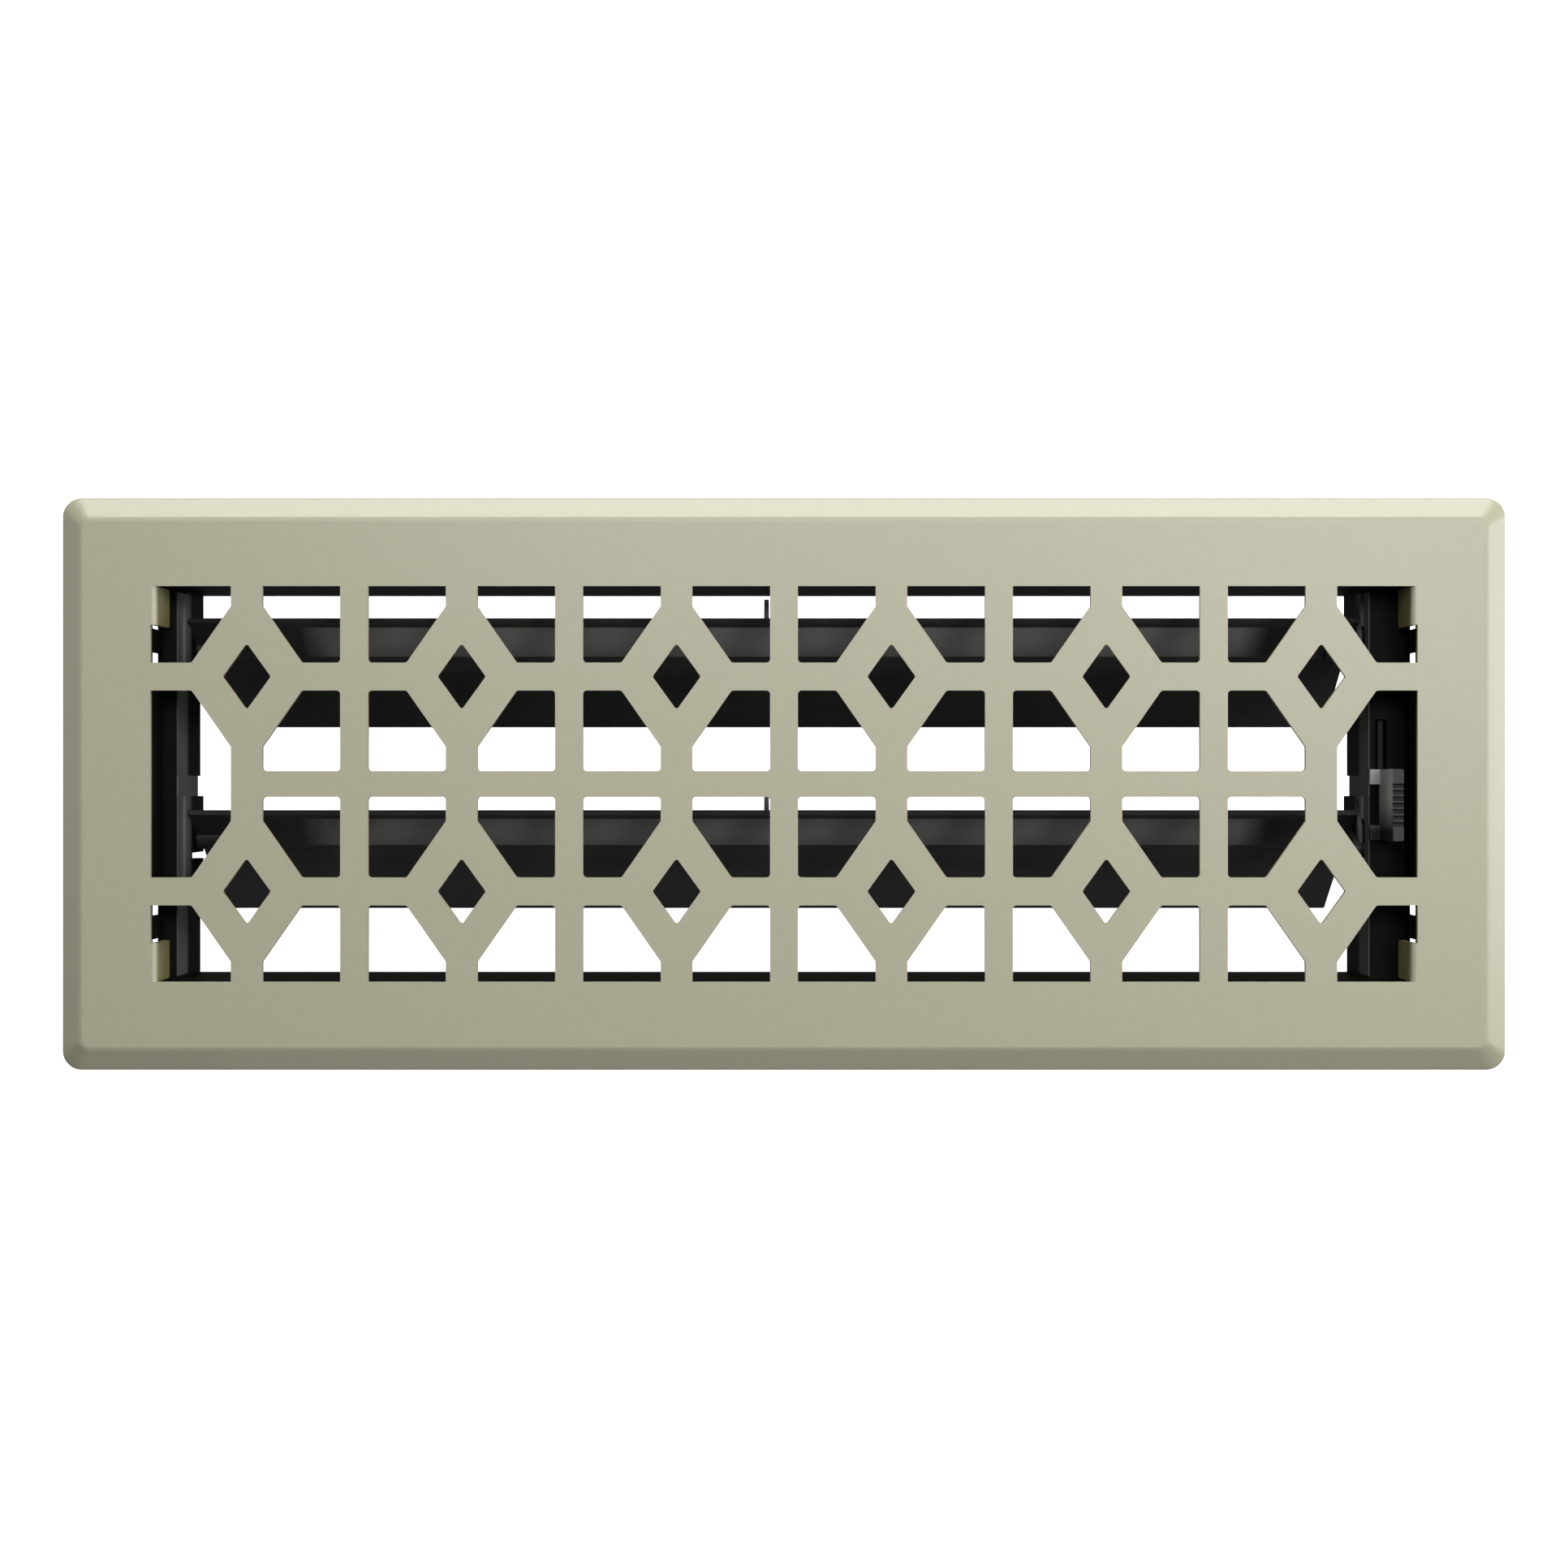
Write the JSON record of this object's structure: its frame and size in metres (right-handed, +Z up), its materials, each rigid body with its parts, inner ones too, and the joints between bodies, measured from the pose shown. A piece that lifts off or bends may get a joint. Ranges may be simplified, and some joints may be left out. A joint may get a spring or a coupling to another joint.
{
  "type": "vent register",
  "caption": "Rectangular floor vent register: pierced steel faceplate over a damper frame with two tilting louvers worked by a thumb slide.",
  "frame": {"origin": "middle of the floor plane that the faceplate's rim stands on, over the middle of the duct opening", "axes": "+X along the face towards the thumb slide, +Y across the face, +Z up out of the floor"},
  "size_m": [0.3492, 0.1384, 0.0598],
  "materials": {
    "face_paint": "satin powder coat, faint orange peel",
    "frame_plastic": "matt moulded, fine grain",
    "louver_plastic": "satin moulded",
    "link_plastic": "satin moulded",
    "slide_plastic": "satin moulded"
  },
  "bodies": {
    "housing": {"faceplate": "face_paint", "damper_frame": "frame_plastic"},
    "rear_louver": {"louver_rear": "louver_plastic"},
    "front_louver": {"louver_front": "louver_plastic"},
    "slide": {"thumb_slide": "slide_plastic", "link_bar": "link_plastic"}
  },
  "joints": [
    {"name": "rear_louver_tilt", "type": "hinge", "parent": "housing", "child": "rear_louver", "pos_m": [0, 0.03425, -0.0261], "axis": [1, 0, 0], "range_deg": [-54, 30]},
    {"name": "front_louver_tilt", "type": "hinge", "parent": "housing", "child": "front_louver", "pos_m": [0, -0.01345, -0.0261], "axis": [1, 0, 0], "range_deg": [-54, 30]},
    {"name": "slide_travel", "type": "slide", "parent": "housing", "child": "slide", "axis": [0, 1, 0], "range_m": [-0.00574, 0.01033]}
  ],
  "couplings": [
    {"joint": "front_louver_tilt", "follows": "rear_louver_tilt", "ratio": 1},
    {"joint": "slide_travel", "follows": "rear_louver_tilt", "m_per_rad": -0.010954}
  ]
}
